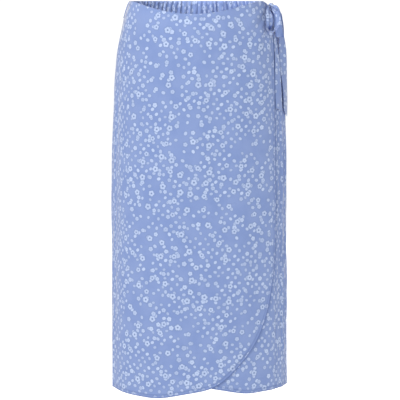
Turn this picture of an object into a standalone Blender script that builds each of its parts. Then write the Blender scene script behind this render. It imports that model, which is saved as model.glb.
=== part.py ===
"""Midi wrap skirt with an elastic back waistband, a mirrored pair of front panels with rounded
lower corners, and a bow at the wearer's left side. It holds the round form that it has when worn.

Frame: metres, +Z up, origin at the centre of the waist opening, level with the top edge of the
back waistband. The front faces -Y and the wearer's left side is +X.

A place on the skirt is given by an angle round the body (0 at centre front, 90 at the wearer's
left side seam, 180 at centre back) and a depth below the origin. Every panel is cut from the one
surface that skirt_point gives, and a panel that lies over another is that surface moved out.
"""

from collections import namedtuple
from math import cos, exp, pi, radians, sin

import bmesh
import bpy
from mathutils import Vector

# Driving sizes, in metres and degrees.
WAIST_HALF_WIDTH = 0.139
HIP_HALF_WIDTH = 0.1767
WAIST_FRONT_DEPTH = 0.097
HIP_FRONT_DEPTH = 0.115
WAIST_BACK_DEPTH = 0.098
HIP_BACK_DEPTH = 0.122
HIP_CURVE_LENGTH = 0.095  # depth over which the waist opens out to the hips
SEAT_FULLNESS = 0.009
SEAT_DEPTH = 0.205
SEAT_SPREAD = 0.130
HEM_FLARE = 0.0015  # extra half width that the cloth gains by the hem

WAIST_DIP = 0.025  # how far the front edge dips below the back waistband
WAIST_DIP_CENTRE = -5.0
WAIST_DIP_RATE = 1.25

# The bow draws the top edge down at the left side seam, between these angles.
SIDE_PULL = 0.012
SIDE_PULL_STARTS = 63.0
SIDE_PULL_FULL = 82.0
SIDE_PULL_EASES = 97.0
SIDE_PULL_ENDS = 116.0

SEAM_ANGLE = 89.9  # panels stop this far round, 0.3 to 0.4 mm apart at the side seams
SEAM_GAP = 0.0003
CLOTH = 0.0014
LAYER_LIFT = 0.0020  # the overlap's inner face above the underlap's inner face
SETTLE_FROM = -62.0  # past the underlap's edge the overlap comes down between these two angles
SETTLE_BY = -84.0
BAND_HEIGHT = 0.035
BAND_THICKNESS = 0.0024
TIE_THICKNESS = 0.0012

# A front panel: its length at the longest place and how much shorter it is at the side seam, the
# angle where its lower corner starts to round, and the angle that its free edge reaches. Side is
# 1 where it wraps towards the wearer's left. The tied edge leans towards the bow.
FrontPanel = namedtuple("FrontPanel", "length seam_rise corner_start edge side tied")
OVERLAP = FrontPanel(length=0.7925, seam_rise=0.007, corner_start=-38.0, edge=59.2, side=1, tied=True)
UNDERLAP = FrontPanel(length=0.7845, seam_rise=0.0, corner_start=-43.0, edge=53.7, side=-1, tied=False)
CORNER_TOP_DEPTH = 0.40
CORNER_ACROSS_POWER = 2.45
CORNER_DOWN_POWER = 2.53
EDGE_RIPPLE = 0.003  # the long curved edge hangs in a slight wave
EDGE_RIPPLE_LENGTH = 0.45

# The tied edge leans towards the bow, most just below the waist, and its top corner turns back.
TIED_LEAN = 8.0
TIED_LEAN_DEPTH = 0.125
TIED_CORNER_TURN = 4.2
TIED_CORNER_DEPTH = 0.007

# Folds of the back: how many there are between the side seams, how far each stands out, the depths
# where it starts, is full, fades and ends, how unevenly it is spaced (as a share of one fold), how
# far its first fold is shifted (in radians) and the share of the back over which it dies away at a
# seam. The waistband's gathers merge in pairs below it, and broad flutes grow towards the hem.
BAND_GATHERS = 42
PANEL_GATHERS = BAND_GATHERS // 2
BackFold = namedtuple("BackFold", "count height starts full fades ends drift shift at_seam")
BACK_FOLDS = (
    BackFold(
        BAND_GATHERS, 0.0019, starts=-1.0, full=0.0, fades=0.035, ends=0.075, drift=0.0, shift=0.0, at_seam=0.03
    ),
    BackFold(
        PANEL_GATHERS, 0.0026, starts=0.035, full=0.08, fades=0.1, ends=0.24, drift=0.3, shift=0.0, at_seam=0.03
    ),
    BackFold(7, 0.0055, starts=0.12, full=0.79, fades=1.0, ends=2.0, drift=0.13, shift=0.6, at_seam=0.15),
)
FOLD_UNEVENNESS = 0.25  # share by which the folds' heights vary
GATHER_COLUMNS = 4 * BAND_GATHERS

# The bow's knot lies on the underlap, just past the overlap's corner.
KNOT_ANGLE = 70.4
KNOT_DEPTH = 0.0125
KNOT_RADII = (0.0066, 0.0072, 0.0082)  # outwards, round the body, up
KNOT_WRAP = 0.07  # share by which the wrapped turns stand out

# Soft creases that run down the cloth: middle angle, the depths where one starts and ends, its
# half width and lean in degrees, and how far it stands out (a trough is negative).
Crease = namedtuple("Crease", "angle top bottom spread lean height")
CREASES = (
    Crease(angle=65.0, top=0.120, bottom=0.700, spread=2.6, lean=-4.0, height=-0.0014),
    Crease(angle=70.0, top=0.180, bottom=0.790, spread=2.6, lean=-3.0, height=0.0020),
    Crease(angle=75.5, top=0.090, bottom=0.560, spread=2.6, lean=2.0, height=-0.0022),
    Crease(angle=80.0, top=0.150, bottom=0.790, spread=2.8, lean=1.0, height=0.0018),
    Crease(angle=84.0, top=0.300, bottom=0.640, spread=2.6, lean=-2.0, height=-0.0016),
    Crease(angle=88.5, top=0.100, bottom=0.400, spread=5.5, lean=0.0, height=-0.0034),
    Crease(angle=-68.0, top=0.120, bottom=0.520, spread=3.5, lean=3.0, height=-0.0012),
    Crease(angle=-76.0, top=0.060, bottom=0.790, spread=3.2, lean=2.0, height=0.0012),
    Crease(angle=-82.5, top=0.140, bottom=0.790, spread=2.6, lean=-2.0, height=-0.0020),
)
CREASE_FADE = 0.08
HEM_CREASE_DEPTH = 0.75  # a crease that ends below this runs out through the hem

# Drag folds that fan out from the overlap's tied corner: where each one ends, and its size.
DragFold = namedtuple("DragFold", "end_angle end_depth spread height")
DRAG_FOLDS = (
    DragFold(end_angle=36.0, end_depth=0.046, spread=0.0065, height=0.0014),
    DragFold(end_angle=43.0, end_depth=0.088, spread=0.0070, height=0.0018),
    DragFold(end_angle=53.0, end_depth=0.120, spread=0.0065, height=0.0015),
)
DRAG_ANGLE = 66.0
DRAG_DEPTH = 0.010
DEGREE_OF_CLOTH = 0.0021  # metres of cloth in one degree near the tied corner

# Stations of the bow's loops, in millimetres from the knot's centre: +x to the wearer's left, +y
# to the back, +z up. Turn and rise give the way the ribbon's width runs, in plan and upwards.
Station = namedtuple("Station", "x y z turn rise width")
FRONT_LOOP = (
    Station(x=-2.0, y=-4.5, z=1.0, turn=242, rise=75, width=7),
    Station(x=-4.2, y=-11.5, z=0.0, turn=238, rise=60, width=11),
    Station(x=-5.4, y=-17.5, z=-6.0, turn=225, rise=30, width=16),
    Station(x=-4.2, y=-21.4, z=-15.0, turn=216, rise=8, width=18.5),
    Station(x=-3.6, y=-24.2, z=-25.0, turn=216, rise=0, width=19),
    Station(x=-5.2, y=-28.7, z=-35.0, turn=225, rise=4, width=18.5),
    Station(x=-7.2, y=-32.2, z=-43.5, turn=243, rise=14, width=17.5),
    Station(x=-0.4, y=-33.2, z=-50.6, turn=270, rise=38, width=16.5),
    Station(x=7.2, y=-30.6, z=-43.5, turn=298, rise=14, width=15),
    Station(x=11.8, y=-27.2, z=-34.0, turn=312, rise=4, width=14),
    Station(x=12.8, y=-24.8, z=-24.0, turn=318, rise=0, width=13.5),
    Station(x=10.4, y=-22.0, z=-14.0, turn=316, rise=10, width=12),
    Station(x=3.4, y=-15.4, z=-5.6, turn=290, rise=35, width=10),
    Station(x=0.0, y=-5.5, z=-1.0, turn=262, rise=65, width=7),
)
SIDE_LOOP = (
    Station(x=2.0, y=-2.0, z=2.0, turn=62, rise=22, width=7),
    Station(x=7.4, y=-6.2, z=1.8, turn=45, rise=16, width=10),
    Station(x=11.0, y=-9.4, z=-4.0, turn=18, rise=8, width=12.5),
    Station(x=12.0, y=-11.0, z=-13.0, turn=-3, rise=0, width=14.5),
    Station(x=12.6, y=-11.8, z=-25.5, turn=-6, rise=0, width=16),
    Station(x=14.6, y=-11.6, z=-40.0, turn=0, rise=0, width=17),
    Station(x=17.2, y=-10.8, z=-51.2, turn=10, rise=0, width=16),
    Station(x=17.6, y=-7.2, z=-58.0, turn=11, rise=0, width=16.5),
    Station(x=17.6, y=-3.6, z=-51.2, turn=12, rise=0, width=17),
    Station(x=16.8, y=-2.8, z=-39.0, turn=20, rise=0, width=18),
    Station(x=14.8, y=-2.2, z=-25.5, turn=22, rise=0, width=18),
    Station(x=12.8, y=-1.6, z=-12.0, turn=28, rise=0, width=15),
    Station(x=2.6, y=0.8, z=-3.0, turn=50, rise=10, width=7),
)
# The tails and the strap lie against the cloth: angle round the body, depth, lift off the
# underlap's inner face and the ribbon's width in millimetres, and the angle by which its far
# side tilts out.
BandStation = namedtuple("BandStation", "angle depth lift width tilt")
FRONT_TAIL = (
    BandStation(angle=70.8, depth=18, lift=6.0, width=6, tilt=0),
    BandStation(angle=70.0, depth=30, lift=3.6, width=6.5, tilt=0),
    BandStation(angle=68.2, depth=60, lift=3.6, width=9, tilt=8),
    BandStation(angle=67.0, depth=87, lift=4.0, width=10.5, tilt=9),
    BandStation(angle=65.6, depth=117, lift=4.8, width=13.5, tilt=9),
    BandStation(angle=65.1, depth=156, lift=4.6, width=17.5, tilt=8),
    BandStation(angle=65.2, depth=196, lift=4.6, width=21, tilt=7),
    BandStation(angle=65.2, depth=215, lift=4.6, width=21, tilt=7),
)
SIDE_TAIL = (
    BandStation(angle=73.4, depth=18, lift=7.5, width=6, tilt=0),
    BandStation(angle=74.4, depth=32, lift=5.4, width=8, tilt=8),
    BandStation(angle=77.0, depth=52, lift=8.4, width=15, tilt=18),
    BandStation(angle=77.8, depth=70, lift=9.8, width=18, tilt=22),
    BandStation(angle=76.8, depth=88, lift=9.4, width=20, tilt=25),
    BandStation(angle=75.6, depth=117, lift=8.2, width=21, tilt=25),
    BandStation(angle=77.0, depth=160, lift=8.0, width=21, tilt=10),
    BandStation(angle=77.2, depth=196, lift=7.6, width=21, tilt=6),
    BandStation(angle=76.8, depth=224, lift=6.6, width=21, tilt=6),
)
SIDE_STRAP = (
    BandStation(angle=73.2, depth=12.5, lift=3.4, width=6, tilt=0),
    BandStation(angle=78.0, depth=15.5, lift=2.4, width=9, tilt=0),
    BandStation(angle=83.5, depth=18, lift=2.4, width=12, tilt=0),
    BandStation(angle=89.1, depth=19.5, lift=2.4, width=13, tilt=0),
)
TAIL_END_SLANT = 0.34  # the outer corner hangs this share of the width below the middle

# Depths of the front panels' upper rows, and how many rows share what is left below them.
UPPER_ROWS = (0.0, 0.012, 0.030, 0.055, 0.090, 0.135, 0.195, 0.270)
LOWER_ROWS = 7
CORNER_COLUMNS = 26
PLAIN_COLUMN = 4.0  # degrees from column to column on a smooth stretch
CREASED_COLUMN = 1.9
CREASED_FROM = 62.0  # the cloth is creased from this angle to the side seam


def smoothstep(low, high, value):
    """0 below low, 1 above high, and a smooth rise between them."""
    t = min(max((value - low) / (high - low), 0.0), 1.0)
    return t * t * (3.0 - 2.0 * t)


def half_width(depth):
    """Half the skirt's width: the waist opens out to the hips, then flares slightly."""
    flare = HEM_FLARE * depth / OVERLAP.length
    return HIP_HALF_WIDTH + flare - (HIP_HALF_WIDTH - WAIST_HALF_WIDTH) * exp(-depth / HIP_CURVE_LENGTH)


def front_depth(depth):
    """How far the front stands from the side seams' plane."""
    return HIP_FRONT_DEPTH - (HIP_FRONT_DEPTH - WAIST_FRONT_DEPTH) * exp(-depth / HIP_CURVE_LENGTH)


def back_depth(depth):
    """How far the back stands from the side seams' plane, fullest at the seat."""
    opened = HIP_BACK_DEPTH - (HIP_BACK_DEPTH - WAIST_BACK_DEPTH) * exp(-depth / HIP_CURVE_LENGTH)
    return opened + SEAT_FULLNESS * exp(-(((depth - SEAT_DEPTH) / SEAT_SPREAD) ** 2))


def crease_height(angle, depth):
    """Sum of the long creases, each a soft ridge or trough that fades in and out along its length."""
    total = 0.0
    for crease in CREASES:
        middle = crease.angle + crease.lean * (depth - crease.top)
        across = exp(-(((angle - middle) / crease.spread) ** 2))
        along = smoothstep(crease.top, crease.top + CREASE_FADE, depth)
        if crease.bottom < HEM_CREASE_DEPTH:
            along *= 1.0 - smoothstep(crease.bottom - 2.0 * CREASE_FADE, crease.bottom, depth)
        total += crease.height * across * along
    return total


def drag_fold_height(angle, depth):
    """Sum of the drag folds: ridges along rays from the tied corner, highest at mid length."""
    total = 0.0
    here = Vector(((angle - DRAG_ANGLE) * DEGREE_OF_CLOTH, depth - DRAG_DEPTH))
    for fold in DRAG_FOLDS:
        ray = Vector(((fold.end_angle - DRAG_ANGLE) * DEGREE_OF_CLOTH, fold.end_depth - DRAG_DEPTH))
        along = here.dot(ray) / ray.length_squared
        if 0.0 < along < 1.0:
            off = (here - ray * along).length
            total += fold.height * 4.0 * along * (1.0 - along) * exp(-((off / fold.spread) ** 2))
    return total


def gather_height(angle, depth):
    """Sum of the back's folds: waves round the back, uneven in height and in spacing."""
    across = (angle - 90.0) / 180.0  # 0 at the left side seam, 1 at the right one
    from_seam = min(across, 1.0 - across)
    uneven = 1.0 + FOLD_UNEVENNESS * sin(2.0 * pi * 5.3 * across + 0.8)
    wander = sin(2.0 * pi * 2.3 * across + 1.0)
    total = 0.0
    for fold in BACK_FOLDS:
        here = smoothstep(fold.starts, fold.full, depth) * (1.0 - smoothstep(fold.fades, fold.ends, depth))
        here *= smoothstep(0.0, fold.at_seam, from_seam)
        wave = sin(2.0 * pi * (fold.count * across + fold.drift * wander) + fold.shift)
        total += fold.height * uneven * here * wave
    return total


def outward(angle, depth):
    """Direction straight out of the body in plan."""
    turn = radians(angle)
    reach = front_depth(depth) if cos(turn) >= 0.0 else back_depth(depth)
    return Vector((reach * sin(turn), -half_width(depth) * cos(turn), 0.0)).normalized()


def skirt_point(angle, depth, lift=0.0):
    """A point of the one surface that all the panels share, moved out by lift.

    The surface is an ellipse at each depth, with its own front and back half, plus the folds."""
    turn = radians(angle)
    in_front = abs(angle) <= 90.0
    reach = front_depth(depth) if in_front else back_depth(depth)
    fold = crease_height(angle if angle < 180.0 else angle - 360.0, depth)
    if not in_front:
        fold += gather_height(angle, depth)
    point = Vector((half_width(depth) * sin(turn), -reach * cos(turn), -depth))
    return point + outward(angle, depth) * (lift + fold)


def side_pull(angle):
    """How far the bow draws the top edge down near the left side seam."""
    drawn = smoothstep(SIDE_PULL_STARTS, SIDE_PULL_FULL, angle)
    return SIDE_PULL * drawn * (1.0 - smoothstep(SIDE_PULL_EASES, SIDE_PULL_ENDS, angle))


def waist_edge(angle):
    """Depth of the front panels' top edge, which dips in front in a squared cosine."""
    turn = WAIST_DIP_RATE * (angle - WAIST_DIP_CENTRE)
    dip = WAIST_DIP * cos(radians(turn)) ** 2 if abs(turn) < 90.0 else 0.0
    return dip + side_pull(angle)


def tied_lean(depth):
    """Degrees by which the bow pulls the overlap's free edge towards the side seam."""
    pull = TIED_LEAN * exp(-((depth / TIED_LEAN_DEPTH) ** 2))
    return pull - TIED_CORNER_TURN * exp(-((depth / TIED_CORNER_DEPTH) ** 2))


def spaced(start, end, step):
    """Evenly spaced values from start up to but not including end, about step apart."""
    count = max(round((end - start) / step), 1)
    return [start + (end - start) * i / count for i in range(count)]


def front_columns(panel):
    """(angle, lower edge's depth, share of the way across the corner) for each column of a front
    panel, from its side seam to its free edge, as if it wrapped towards positive angles. The
    corner is a quarter of a superellipse, its columns closer together where it is steep."""
    columns = []
    plain = spaced(-SEAM_ANGLE, -CREASED_FROM, CREASED_COLUMN)
    plain += spaced(-CREASED_FROM, panel.corner_start, PLAIN_COLUMN)
    for angle in plain:
        rise = panel.seam_rise * smoothstep(panel.corner_start, -SEAM_ANGLE, angle)
        columns.append((angle, panel.length - rise, 0.0))
    for i in range(CORNER_COLUMNS + 1):
        across = min(sin(pi / 2 * i / CORNER_COLUMNS), 1.0)
        fall = (1.0 - across**CORNER_ACROSS_POWER) ** (1.0 / CORNER_DOWN_POWER)
        ripple = EDGE_RIPPLE * sin(pi * across) * cos(2.0 * pi * (across - 0.5) / EDGE_RIPPLE_LENGTH)
        angle = panel.corner_start + (panel.edge - panel.corner_start) * across
        lower_edge = CORNER_TOP_DEPTH + (panel.length - CORNER_TOP_DEPTH) * fall + ripple
        columns.append((angle, lower_edge, across))
    return columns


def front_panel_rows(panel):
    """Rows of (angle, depth) points of a front panel, from its top edge to its lower edge."""
    columns = front_columns(panel)
    rows = []
    for row in range(len(UPPER_ROWS) + LOWER_ROWS):
        points = []
        for angle, lower_edge, across in columns:
            follow = across**3 if panel.tied else 0.0
            top = waist_edge(panel.side * (angle + tied_lean(0.0) * follow))
            if row < len(UPPER_ROWS):
                depth = top + UPPER_ROWS[row] * (1.0 - top / UPPER_ROWS[-1])
            else:
                share = (row - len(UPPER_ROWS) + 1) / LOWER_ROWS
                depth = UPPER_ROWS[-1] + (lower_edge - UPPER_ROWS[-1]) * share
            points.append((panel.side * (angle + tied_lean(depth) * follow), depth))
        rows.append(points)
    return rows


def overlap_lift(angle, depth):
    """The overlap lies over the underlap, and comes down to the seam past the underlap's edge."""
    return LAYER_LIFT * smoothstep(SETTLE_BY, SETTLE_FROM, angle) + drag_fold_height(angle, depth)


def back_hem(angle):
    """The back's hem meets the front's hem at both side seams."""
    across = (angle - 90.0) / 180.0
    return UNDERLAP.length + (OVERLAP.length - OVERLAP.seam_rise - UNDERLAP.length) * across


def back_row(cells, depth=None):
    """Points of one row of the back, evenly spaced in angle; without a depth, those of its hem."""
    angles = [180.0 - SEAM_ANGLE + 2.0 * SEAM_ANGLE * i / cells for i in range(cells + 1)]
    return [(angle, back_hem(angle) if depth is None else depth) for angle in angles]


def material(name, colour):
    """Matt woven cloth."""
    made = bpy.data.materials.new(name)
    made.use_nodes = True
    shader = made.node_tree.nodes["Principled BSDF"]
    shader.inputs["Base Color"].default_value = (*colour, 1.0)
    shader.inputs["Roughness"].default_value = 0.85
    shader.inputs["Metallic"].default_value = 0.0
    return made


def stitch(bm, upper, lower):
    """Faces between two rows of vertices. The lower row has as many cells, or half as many."""
    if len(upper) == len(lower):
        for i in range(len(upper) - 1):
            bm.faces.new((upper[i], lower[i], lower[i + 1], upper[i + 1]))
        return
    for i in range(len(lower) - 1):
        left, middle, right = upper[2 * i : 2 * i + 3]
        bm.faces.new((left, lower[i], middle))
        bm.faces.new((middle, lower[i], lower[i + 1]))
        bm.faces.new((middle, lower[i + 1], right))


def add_wall(name, outer_rows, inner_rows, finish):
    """A closed wall between two surfaces given as rows of points: both faces and the four rims."""
    bm = bmesh.new()
    outer = [[bm.verts.new(p) for p in row] for row in outer_rows]
    inner = [[bm.verts.new(p) for p in row] for row in inner_rows]
    for rows in (outer, inner):
        for upper, lower in zip(rows, rows[1:]):
            stitch(bm, upper, lower)
    for row in (0, -1):
        stitch(bm, outer[row], inner[row])
    for column in (0, -1):
        stitch(bm, [row[column] for row in outer], [row[column] for row in inner])
    bmesh.ops.recalc_face_normals(bm, faces=bm.faces)
    return add_object(name, bm, finish)


def add_object(name, bm, finish):
    """The bmesh as an object of the scene, shaded smooth with its rims kept sharp."""
    mesh = bpy.data.meshes.new(name)
    bm.to_mesh(mesh)
    bm.free()
    mesh.shade_smooth()
    mesh.set_sharp_from_angle(angle=radians(50.0))
    mesh.materials.append(finish)
    made = bpy.data.objects.new(name, mesh)
    bpy.context.scene.collection.objects.link(made)
    return made


def add_panel(name, rows, thickness, lift, finish):
    """A cloth panel: its rows placed on the skirt's surface, and again moved out by its wall."""
    inner = [[skirt_point(a, d, lift(a, d)) for a, d in row] for row in rows]
    outer = [[skirt_point(a, d, lift(a, d) + thickness) for a, d in row] for row in rows]
    return add_wall(name, outer, inner, finish)


def flat_lift(angle, depth):
    """A panel that lies on the skirt's own surface."""
    return 0.0


def along_stations(stations, share):
    """A place on the smooth curve through the stations, with every column read the same way."""
    last = len(stations) - 1
    i = min(int(share * last), last - 1)
    t = share * last - i
    near = [stations[min(max(k, 0), last)] for k in (i - 1, i, i + 1, i + 2)]
    values = []
    for a, b, c, d in zip(*near):
        square = (2 * a - 5 * b + 4 * c - d) * t * t
        cube = (3 * b - a - 3 * c + d) * t**3
        values.append(0.5 * (2 * b + (c - a) * t + square + cube))
    return type(stations[0])(*values)


def add_ribbon(name, middle, steps, finish, slant=0.0, cells=4):
    """A tie ribbon. Middle gives, for a share of its length, the ribbon's middle point, the way
    its width runs and its width. Slant cuts its end at an angle."""
    places = [middle(i / steps) for i in range(steps + 1)]
    outer, inner = [], []
    for i, (point, width_way, width) in enumerate(places):
        along = places[min(i + 1, steps)][0] - places[max(i - 1, 0)][0]
        normal = along.cross(width_way).normalized()
        across = normal.cross(along).normalized()
        if i == steps:
            across = across + along.normalized() * (2.0 * slant)
        sides = [2.0 * k / cells - 1.0 for k in range(cells + 1)]
        line = [point + across * (side * width / 2) for side in sides]
        outer.append([p + normal * (TIE_THICKNESS / 2) for p in line])
        inner.append([p - normal * (TIE_THICKNESS / 2) for p in line])
    return add_wall(name, outer, inner, finish)


def loop_middle(stations, knot):
    """Middle of a bow loop, from stations measured from the knot."""

    def middle(share):
        at = along_stations(stations, share)
        turn, rise = radians(at.turn), radians(at.rise)
        width_way = Vector((cos(turn) * cos(rise), sin(turn) * cos(rise), sin(rise)))
        return knot + Vector((at.x, at.y, at.z)) / 1000, width_way, at.width / 1000

    return middle


def band_middle(stations, upright=False):
    """Middle of a ribbon that lies against the skirt. A tail's width runs round the body, tilted
    outwards; an upright strap runs round the body itself."""

    def middle(share):
        at = along_stations(stations, share)
        depth, tilt = at.depth / 1000, radians(at.tilt)
        point = skirt_point(at.angle, depth, at.lift / 1000)
        out = outward(at.angle, depth)
        width_way = Vector((-out.y, out.x, 0.0)) * cos(tilt) + out * sin(tilt)
        if upright:
            half = at.width / 2000
            width_way = skirt_point(at.angle, depth - half) - skirt_point(at.angle, depth + half)
        return point, width_way.normalized(), at.width / 1000

    return middle


def add_knot(name, centre, extra, finish):
    """The knot: a rounded lump with wrapped turns, larger all round by extra."""
    bm = bmesh.new()
    bmesh.ops.create_uvsphere(bm, u_segments=18, v_segments=12, radius=1.0)
    out = outward(KNOT_ANGLE, KNOT_DEPTH)
    ways = (out, Vector((-out.y, out.x, 0.0)), Vector((0.0, 0.0, 1.0)))
    for vertex in bm.verts:
        unit = vertex.co.copy()
        wrap = 1.0 + KNOT_WRAP * cos(5.0 * unit.z + 2.0 * unit.y) * (1.0 - unit.z * unit.z)
        vertex.co = centre
        for way, radius, share in zip(ways, KNOT_RADII, unit):
            vertex.co += way * ((radius * wrap + extra) * share)
    bmesh.ops.recalc_face_normals(bm, faces=bm.faces)
    return add_object(name, bm, finish)


def cut_with(piece, cutter):
    """Cuts the knot's room out of a ribbon whose end runs into it."""
    cut = piece.modifiers.new("knot_room", "BOOLEAN")
    cut.operation = "DIFFERENCE"
    cut.solver = "EXACT"
    cut.object = cutter


def build_panels(finish):
    """Underlap, overlap, back panel and back waistband."""
    add_panel("front_underlap", front_panel_rows(UNDERLAP), CLOTH, flat_lift, finish)
    add_panel("front_overlap", front_panel_rows(OVERLAP), CLOTH, overlap_lift, finish)

    top_row = back_row(GATHER_COLUMNS, 0.0)
    band_rows = []
    for share in (0.0, 0.5, 1.0):
        lower = (BAND_HEIGHT - SEAM_GAP) * share
        band_rows.append([(angle, lower + side_pull(angle) * (1.0 - share)) for angle, _ in top_row])
    add_panel("back_waistband", band_rows, BAND_THICKNESS, flat_lift, finish)

    back_rows = [back_row(GATHER_COLUMNS, depth) for depth in (BAND_HEIGHT, 0.048, 0.062)]
    lower_depths = (0.080, 0.110, 0.150, 0.195, 0.240, 0.300, 0.380, 0.460, 0.540, 0.630, 0.720)
    back_rows += [back_row(GATHER_COLUMNS // 2, depth) for depth in lower_depths]
    back_rows.append(back_row(GATHER_COLUMNS // 2))
    add_panel("back_panel", back_rows, CLOTH, flat_lift, finish)


def build_bow(finish):
    """Knot, two loops, two tails, and the strap that comes from the side seam."""
    lift = CLOTH + SEAM_GAP + KNOT_RADII[0] * (1.0 + KNOT_WRAP)
    centre = skirt_point(KNOT_ANGLE, KNOT_DEPTH, lift)
    add_knot("tie_knot", centre, 0.0, finish)
    room = add_knot("knot_room", centre, SEAM_GAP, finish)
    room.hide_render = True
    room.display_type = "WIRE"
    ribbons = (
        add_ribbon("tie_loop_front", loop_middle(FRONT_LOOP, centre), 36, finish),
        add_ribbon("tie_loop_side", loop_middle(SIDE_LOOP, centre), 36, finish),
        add_ribbon("tie_tail_front", band_middle(FRONT_TAIL), 14, finish, slant=TAIL_END_SLANT / 2),
        add_ribbon("tie_tail_side", band_middle(SIDE_TAIL), 14, finish, slant=TAIL_END_SLANT),
        add_ribbon("tie_side_strap", band_middle(SIDE_STRAP, upright=True), 6, finish),
    )
    for ribbon in ribbons:
        cut_with(ribbon, room)


def main():
    for leftover in list(bpy.data.objects):
        bpy.data.objects.remove(leftover)
    printed_cloth = material("printed_viscose", (0.26, 0.38, 0.68))
    build_panels(printed_cloth)
    build_bow(printed_cloth)


main()
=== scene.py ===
"""Midi wrap skirt of printed viscose, filled out as it is when worn and tied in a bow at the side.

Metres, +Z up, origin at the centre of the waist opening. The front faces -Y, and the wearer's
left side is +X. A place on the skirt is an angle round the body (0 at centre front, 90 at the
left side seam, 180 at centre back) and a depth below the waist.
"""

from collections import namedtuple

import bpy
import numpy as np
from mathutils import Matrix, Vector
from numpy import cos, exp, pi, radians, sin


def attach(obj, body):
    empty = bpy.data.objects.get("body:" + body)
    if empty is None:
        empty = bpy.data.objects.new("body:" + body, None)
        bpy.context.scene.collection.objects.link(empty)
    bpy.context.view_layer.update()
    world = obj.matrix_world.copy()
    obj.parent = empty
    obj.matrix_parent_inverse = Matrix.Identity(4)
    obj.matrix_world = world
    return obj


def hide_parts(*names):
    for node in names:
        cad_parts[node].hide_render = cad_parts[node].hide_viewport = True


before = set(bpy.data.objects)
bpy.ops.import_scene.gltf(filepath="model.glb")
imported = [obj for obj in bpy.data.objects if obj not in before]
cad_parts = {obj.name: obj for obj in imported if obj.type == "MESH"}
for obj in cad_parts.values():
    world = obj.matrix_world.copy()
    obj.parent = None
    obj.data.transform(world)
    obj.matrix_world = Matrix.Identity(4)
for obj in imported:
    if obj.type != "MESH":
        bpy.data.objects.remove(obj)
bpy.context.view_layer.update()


# ----------------------------------------
# Studio. A white room with a pale floor at the feet of whoever wears the skirt, a broad soft
# light high in front to the left, a weak one to the right, one behind, a small one with a grid
# over the waist opening, and a long lens.

FLOOR_DEPTH = 1.05
FLOOR_HALF = 30.0
ROOM_SEEN = 1.1
ROOM_LIGHT = 0.62
CAMERA_PLACE = (0.0018, -3.0, 0.0)
CAMERA_DOWN = 7.67
WHITE = (1.0, 1.0, 1.0, 1.0)

scene = bpy.context.scene
scene.view_settings.view_transform = "Standard"
scene.view_settings.look = "None"

camera_data = bpy.data.cameras.new("studio_camera")
camera_data.lens = 133.0
camera_data.sensor_width = 36.0
camera = bpy.data.objects.new("studio_camera", camera_data)
camera.location = CAMERA_PLACE
camera.rotation_euler = (radians(90.0 - CAMERA_DOWN), 0.0, 0.0)
scene.collection.objects.link(camera)
scene.camera = camera

room = bpy.data.worlds.new("white_room")
room.use_nodes = True
seen = room.node_tree.nodes.new("ShaderNodeLightPath")
brightness = room.node_tree.nodes.new("ShaderNodeMapRange")
brightness.inputs["To Min"].default_value = ROOM_LIGHT
brightness.inputs["To Max"].default_value = ROOM_SEEN
room.node_tree.links.new(seen.outputs["Is Camera Ray"], brightness.inputs["Value"])
background = room.node_tree.nodes["Background"]
background.inputs["Color"].default_value = WHITE
room.node_tree.links.new(brightness.outputs["Result"], background.inputs["Strength"])
scene.world = room

Lamp = namedtuple("Lamp", "name place aim size power spread")
LAMPS = (
    Lamp("key_softbox", (-1.7, -2.1, 1.5), (0.0, 0.0, -0.25), size=1.1, power=35.0, spread=180),
    Lamp("fill_softbox", (1.9, -2.6, 0.9), (0.0, 0.0, -0.40), size=1.8, power=7.0, spread=180),
    Lamp("waist_softbox", (-0.10, -0.14, 0.38), (0.03, 0.09, -0.02), size=0.12, power=0.40, spread=56),
    Lamp("back_softbox", (1.2, 2.9, 1.4), (0.0, 0.0, -0.35), size=1.6, power=45.0, spread=180),
)
for lamp in LAMPS:
    softbox = bpy.data.lights.new(lamp.name, "AREA")
    softbox.shape = "SQUARE"
    softbox.size = lamp.size
    softbox.energy = lamp.power
    softbox.spread = radians(lamp.spread)
    stand = bpy.data.objects.new(lamp.name, softbox)
    stand.location = lamp.place
    stand.visible_camera = False
    stand.rotation_euler = (Vector(lamp.aim) - Vector(lamp.place)).to_track_quat("-Z", "Y").to_euler()
    scene.collection.objects.link(stand)

floor_mesh = bpy.data.meshes.new("studio_floor")
corners = [(x * FLOOR_HALF, y * FLOOR_HALF, -FLOOR_DEPTH) for x, y in ((-1, -1), (1, -1), (1, 1), (-1, 1))]
floor_mesh.from_pydata(corners, [], [(0, 1, 2, 3)])
floor = bpy.data.objects.new("studio_floor", floor_mesh)
scene.collection.objects.link(floor)


def plain_material(name, values):
    """A new material with plain values on the sockets of its Principled shader, and that shader."""
    made = bpy.data.materials.new(name)
    made.use_nodes = True
    shader = made.node_tree.nodes["Principled BSDF"]
    for socket, value in values.items():
        shader.inputs[socket].default_value = value
    return made, shader


paint = {"Base Color": (0.90, 0.90, 0.90, 1.0), "Roughness": 0.9, "Specular IOR Level": 0.0}
glow = {"Emission Color": WHITE, "Emission Strength": 0.45}
floor_mesh.materials.append(plain_material("floor_paint", paint | glow)[0])


# ----------------------------------------
# Printed cloth. A light viscose crepe with a mid blue ground, printed on one side with scattered
# white five-petalled blossoms, smaller ones and buds, each in a thin darker outline; the reverse
# shows the print faintly. Shade is painted into the colour: a deep blue where a fold closes on
# itself, and darker tones over the turned hems, along their stitch lines and at the very edge.

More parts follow.
